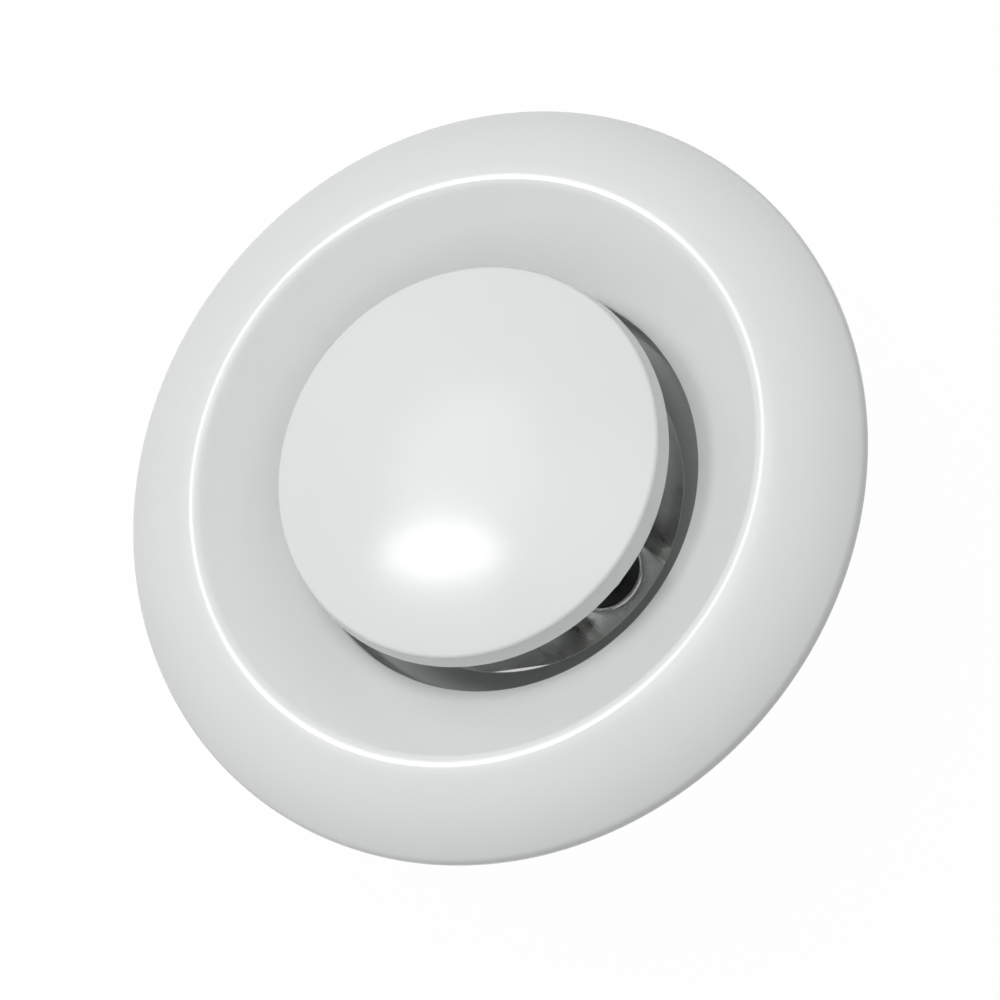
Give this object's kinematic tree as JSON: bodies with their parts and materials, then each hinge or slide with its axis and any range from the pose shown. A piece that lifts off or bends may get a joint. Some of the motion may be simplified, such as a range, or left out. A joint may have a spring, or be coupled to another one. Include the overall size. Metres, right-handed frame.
{
  "type": "round disc valve vent cover",
  "caption": "White round ceiling vent with a flared rim and a domed disc on a screw spindle that sets the air flow; its collar fits a duct and takes the valve with a twist.",
  "frame": {"origin": "centre of the mounting plane behind the rim, on the axis of the spigot", "axes": "+Z along the axis out of the front, X along the bridge that carries the spindle"},
  "size_m": [0.145, 0.145, 0.0918],
  "materials": {
    "white_paint": "glossy powder coat",
    "galvanised_steel": "galvanised",
    "zinc_plate": "bright zinc plate",
    "black_nylon": "moulded",
    "grey_foam": "closed-cell foam"
  },
  "bodies": {
    "collar": {"mounting_collar": "galvanised_steel"},
    "valve": {"valve_body": "white_paint", "foam_gasket": "grey_foam", "bridge": "galvanised_steel", "bridge_bush": "black_nylon", "lock_nut": "zinc_plate"},
    "washer": {"lock_washer": "zinc_plate"},
    "disc": {"valve_disc": "white_paint", "disc_cup": "galvanised_steel", "spindle": "zinc_plate", "disc_nut": "zinc_plate"}
  },
  "joints": [
    {"name": "twist_lock", "type": "hinge", "parent": "collar", "child": "valve", "pos_m": [0, 0, 0], "axis": [0, 0, 1], "range_deg": [0, 26]},
    {"name": "disc_turn", "type": "hinge", "parent": "valve", "child": "washer", "pos_m": [0, 0, 0], "axis": [0, 0, 1], "range_deg": [-5875, 864]},
    {"name": "disc_travel", "type": "slide", "parent": "washer", "child": "disc", "axis": [0, 0, 1], "range_m": [-0.0205, 0.0031]}
  ],
  "couplings": [
    {"joint": "disc_travel", "follows": "disc_turn", "m_per_rad": 0.00019894}
  ]
}
